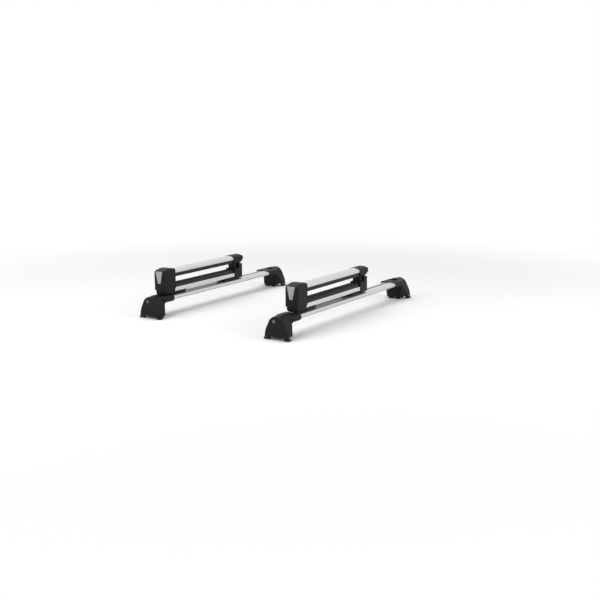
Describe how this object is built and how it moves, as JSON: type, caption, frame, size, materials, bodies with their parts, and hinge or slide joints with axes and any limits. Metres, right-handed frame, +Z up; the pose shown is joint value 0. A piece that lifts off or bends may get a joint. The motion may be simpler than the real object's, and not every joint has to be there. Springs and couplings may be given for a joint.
{
  "type": "roof ski rack",
  "caption": "Roof ski rack: aluminium crossbars on clamping foot packs carry snap-open arms that hold skis between rubber pads.",
  "frame": {"origin": "midway between the two bars, on the car's centre plane, level with the lowest face of the feet", "axes": "+X the car's forward direction, +Y along the bars from the latch side to the far side, +Z up"},
  "size_m": [0.817, 1.06, 0.2099],
  "materials": {
    "bar_aluminium": "anodised satin",
    "arm_aluminium": "anodised satin, light",
    "black_plastic": "fine moulded grain",
    "pad_rubber": "matt, grooved",
    "button_grey": "satin moulded",
    "zinc_steel": "zinc plated",
    "black_steel": "black coated",
    "lock_metal": "satin chrome"
  },
  "bodies": {
    "rack_frame": {"front_crossbar": "bar_aluminium", "rear_crossbar": "bar_aluminium", "slot_strips": "pad_rubber", "rail_pads": "pad_rubber", "cover_pins": "zinc_steel", "front_near_foot_base": "black_plastic", "front_far_foot_base": "black_plastic", "rear_near_foot_base": "black_plastic", "rear_far_foot_base": "black_plastic", "front_lower_arm": "arm_aluminium", "front_lower_pad": "pad_rubber", "front_latch_base": "black_plastic", "front_bar_mounts": "black_plastic", "front_t_bolts": "zinc_steel", "front_hinge_base": "black_plastic", "rear_lower_arm": "arm_aluminium", "rear_lower_pad": "pad_rubber", "rear_latch_base": "black_plastic", "rear_bar_mounts": "black_plastic", "rear_t_bolts": "zinc_steel", "rear_hinge_base": "black_plastic"},
    "front_near_cover": {"front_near_foot_cover": "black_plastic"},
    "front_near_cover_lock": {"front_near_foot_lock": "lock_metal"},
    "front_near_jaw": {"front_near_clamp_jaw": "black_steel"},
    "front_near_bolt": {"front_near_clamp_bolt": "zinc_steel"},
    "front_far_cover": {"front_far_foot_cover": "black_plastic"},
    "front_far_cover_lock": {"front_far_foot_lock": "lock_metal"},
    "front_far_jaw": {"front_far_clamp_jaw": "black_steel"},
    "front_far_bolt": {"front_far_clamp_bolt": "zinc_steel"},
    "rear_near_cover": {"rear_near_foot_cover": "black_plastic"},
    "rear_near_cover_lock": {"rear_near_foot_lock": "lock_metal"},
    "rear_near_jaw": {"rear_near_clamp_jaw": "black_steel"},
    "rear_near_bolt": {"rear_near_clamp_bolt": "zinc_steel"},
    "rear_far_cover": {"rear_far_foot_cover": "black_plastic"},
    "rear_far_cover_lock": {"rear_far_foot_lock": "lock_metal"},
    "rear_far_jaw": {"rear_far_clamp_jaw": "black_steel"},
    "rear_far_bolt": {"rear_far_clamp_bolt": "zinc_steel"},
    "front_hinge_slider": {"front_hinge_block": "black_plastic", "front_hinge_pin": "zinc_steel"},
    "front_opening_arm": {"front_upper_arm": "arm_aluminium", "front_upper_pad": "pad_rubber", "front_latch_housing": "black_plastic", "front_hinge_cap": "black_plastic", "front_pawl_pin": "zinc_steel", "front_button_springs": "zinc_steel"},
    "front_button": {"front_push_button": "button_grey"},
    "front_pawl": {"front_latch_pawl": "zinc_steel"},
    "front_key_lock": {"front_carrier_lock": "lock_metal"},
    "rear_hinge_slider": {"rear_hinge_block": "black_plastic", "rear_hinge_pin": "zinc_steel"},
    "rear_opening_arm": {"rear_upper_arm": "arm_aluminium", "rear_upper_pad": "pad_rubber", "rear_latch_housing": "black_plastic", "rear_hinge_cap": "black_plastic", "rear_pawl_pin": "zinc_steel", "rear_button_springs": "zinc_steel"},
    "rear_button": {"rear_push_button": "button_grey"},
    "rear_pawl": {"rear_latch_pawl": "zinc_steel"},
    "rear_key_lock": {"rear_carrier_lock": "lock_metal"}
  },
  "joints": [
    {"name": "front_near_cover_hinge", "type": "hinge", "parent": "rack_frame", "child": "front_near_cover", "pos_m": [0.35, -0.5247, 0.015], "axis": [1, 0, 0], "range_deg": [0, 70]},
    {"name": "front_near_cover_lock_turn", "type": "hinge", "parent": "front_near_cover", "child": "front_near_cover_lock", "pos_m": [0.341, -0.5298, 0.076], "axis": [0, -1, 0], "range_deg": [0, 90]},
    {"name": "front_near_jaw_slide", "type": "slide", "parent": "rack_frame", "child": "front_near_jaw", "axis": [0, 1, 0], "range_m": [0, 0.006]},
    {"name": "front_near_bolt_turn", "type": "hinge", "parent": "front_near_jaw", "child": "front_near_bolt", "pos_m": [0.35, -0.5143, 0.045], "axis": [0, 1, 0], "range_deg": [0, 1728]},
    {"name": "front_far_cover_hinge", "type": "hinge", "parent": "rack_frame", "child": "front_far_cover", "pos_m": [0.35, 0.5247, 0.015], "axis": [-1, 0, 0], "range_deg": [0, 70]},
    {"name": "front_far_cover_lock_turn", "type": "hinge", "parent": "front_far_cover", "child": "front_far_cover_lock", "pos_m": [0.359, 0.5298, 0.076], "axis": [0, 1, 0], "range_deg": [0, 90]},
    {"name": "front_far_jaw_slide", "type": "slide", "parent": "rack_frame", "child": "front_far_jaw", "axis": [0, -1, 0], "range_m": [0, 0.006]},
    {"name": "front_far_bolt_turn", "type": "hinge", "parent": "front_far_jaw", "child": "front_far_bolt", "pos_m": [0.35, 0.5143, 0.045], "axis": [0, -1, 0], "range_deg": [0, 1728]},
    {"name": "rear_near_cover_hinge", "type": "hinge", "parent": "rack_frame", "child": "rear_near_cover", "pos_m": [-0.35, -0.4847, 0.015], "axis": [1, 0, 0], "range_deg": [0, 70]},
    {"name": "rear_near_cover_lock_turn", "type": "hinge", "parent": "rear_near_cover", "child": "rear_near_cover_lock", "pos_m": [-0.359, -0.4898, 0.076], "axis": [0, -1, 0], "range_deg": [0, 90]},
    {"name": "rear_near_jaw_slide", "type": "slide", "parent": "rack_frame", "child": "rear_near_jaw", "axis": [0, 1, 0], "range_m": [0, 0.006]},
    {"name": "rear_near_bolt_turn", "type": "hinge", "parent": "rear_near_jaw", "child": "rear_near_bolt", "pos_m": [-0.35, -0.4743, 0.045], "axis": [0, 1, 0], "range_deg": [0, 1728]},
    {"name": "rear_far_cover_hinge", "type": "hinge", "parent": "rack_frame", "child": "rear_far_cover", "pos_m": [-0.35, 0.4847, 0.015], "axis": [-1, 0, 0], "range_deg": [0, 70]},
    {"name": "rear_far_cover_lock_turn", "type": "hinge", "parent": "rear_far_cover", "child": "rear_far_cover_lock", "pos_m": [-0.341, 0.4898, 0.076], "axis": [0, 1, 0], "range_deg": [0, 90]},
    {"name": "rear_far_jaw_slide", "type": "slide", "parent": "rack_frame", "child": "rear_far_jaw", "axis": [0, -1, 0], "range_m": [0, 0.006]},
    {"name": "rear_far_bolt_turn", "type": "hinge", "parent": "rear_far_jaw", "child": "rear_far_bolt", "pos_m": [-0.35, 0.4743, 0.045], "axis": [0, -1, 0], "range_deg": [0, 1728]},
    {"name": "front_hinge_rise", "type": "slide", "parent": "rack_frame", "child": "front_hinge_slider", "axis": [0, 0, 1], "range_m": [0, 0.025]},
    {"name": "front_arm_open", "type": "hinge", "parent": "front_hinge_slider", "child": "front_opening_arm", "pos_m": [0.35, 0.15, 0.1855], "axis": [-1, 0, 0], "range_deg": [0, 90]},
    {"name": "front_button_press", "type": "slide", "parent": "front_opening_arm", "child": "front_button", "axis": [0, 1, 0], "range_m": [0, 0.005], "stiffness_N_per_m": 600, "springref_m": -0.003, "deforming": ["front_button_springs"]},
    {"name": "front_pawl_turn", "type": "hinge", "parent": "front_opening_arm", "child": "front_pawl", "pos_m": [0.35, -0.399, 0.162], "axis": [-1, 0, 0], "range_deg": [0, 11.5]},
    {"name": "front_key_lock_turn", "type": "hinge", "parent": "front_opening_arm", "child": "front_key_lock", "pos_m": [0.319, -0.378, 0.15], "axis": [-1, 0, 0], "range_deg": [0, 90]},
    {"name": "rear_hinge_rise", "type": "slide", "parent": "rack_frame", "child": "rear_hinge_slider", "axis": [0, 0, 1], "range_m": [0, 0.025]},
    {"name": "rear_arm_open", "type": "hinge", "parent": "rear_hinge_slider", "child": "rear_opening_arm", "pos_m": [-0.35, 0.15, 0.1855], "axis": [-1, 0, 0], "range_deg": [0, 90]},
    {"name": "rear_button_press", "type": "slide", "parent": "rear_opening_arm", "child": "rear_button", "axis": [0, 1, 0], "range_m": [0, 0.005], "stiffness_N_per_m": 600, "springref_m": -0.003, "deforming": ["rear_button_springs"]},
    {"name": "rear_pawl_turn", "type": "hinge", "parent": "rear_opening_arm", "child": "rear_pawl", "pos_m": [-0.35, -0.399, 0.162], "axis": [-1, 0, 0], "range_deg": [0, 11.5]},
    {"name": "rear_key_lock_turn", "type": "hinge", "parent": "rear_opening_arm", "child": "rear_key_lock", "pos_m": [-0.381, -0.378, 0.15], "axis": [-1, 0, 0], "range_deg": [0, 90]}
  ],
  "couplings": [
    {"joint": "front_near_bolt_turn", "follows": "front_near_jaw_slide", "rad_per_m": 5026.5},
    {"joint": "front_far_bolt_turn", "follows": "front_far_jaw_slide", "rad_per_m": 5026.5},
    {"joint": "rear_near_bolt_turn", "follows": "rear_near_jaw_slide", "rad_per_m": 5026.5},
    {"joint": "rear_far_bolt_turn", "follows": "rear_far_jaw_slide", "rad_per_m": 5026.5},
    {"joint": "front_pawl_turn", "follows": "front_button_press", "rad_per_m": 40},
    {"joint": "rear_pawl_turn", "follows": "rear_button_press", "rad_per_m": 40}
  ]
}
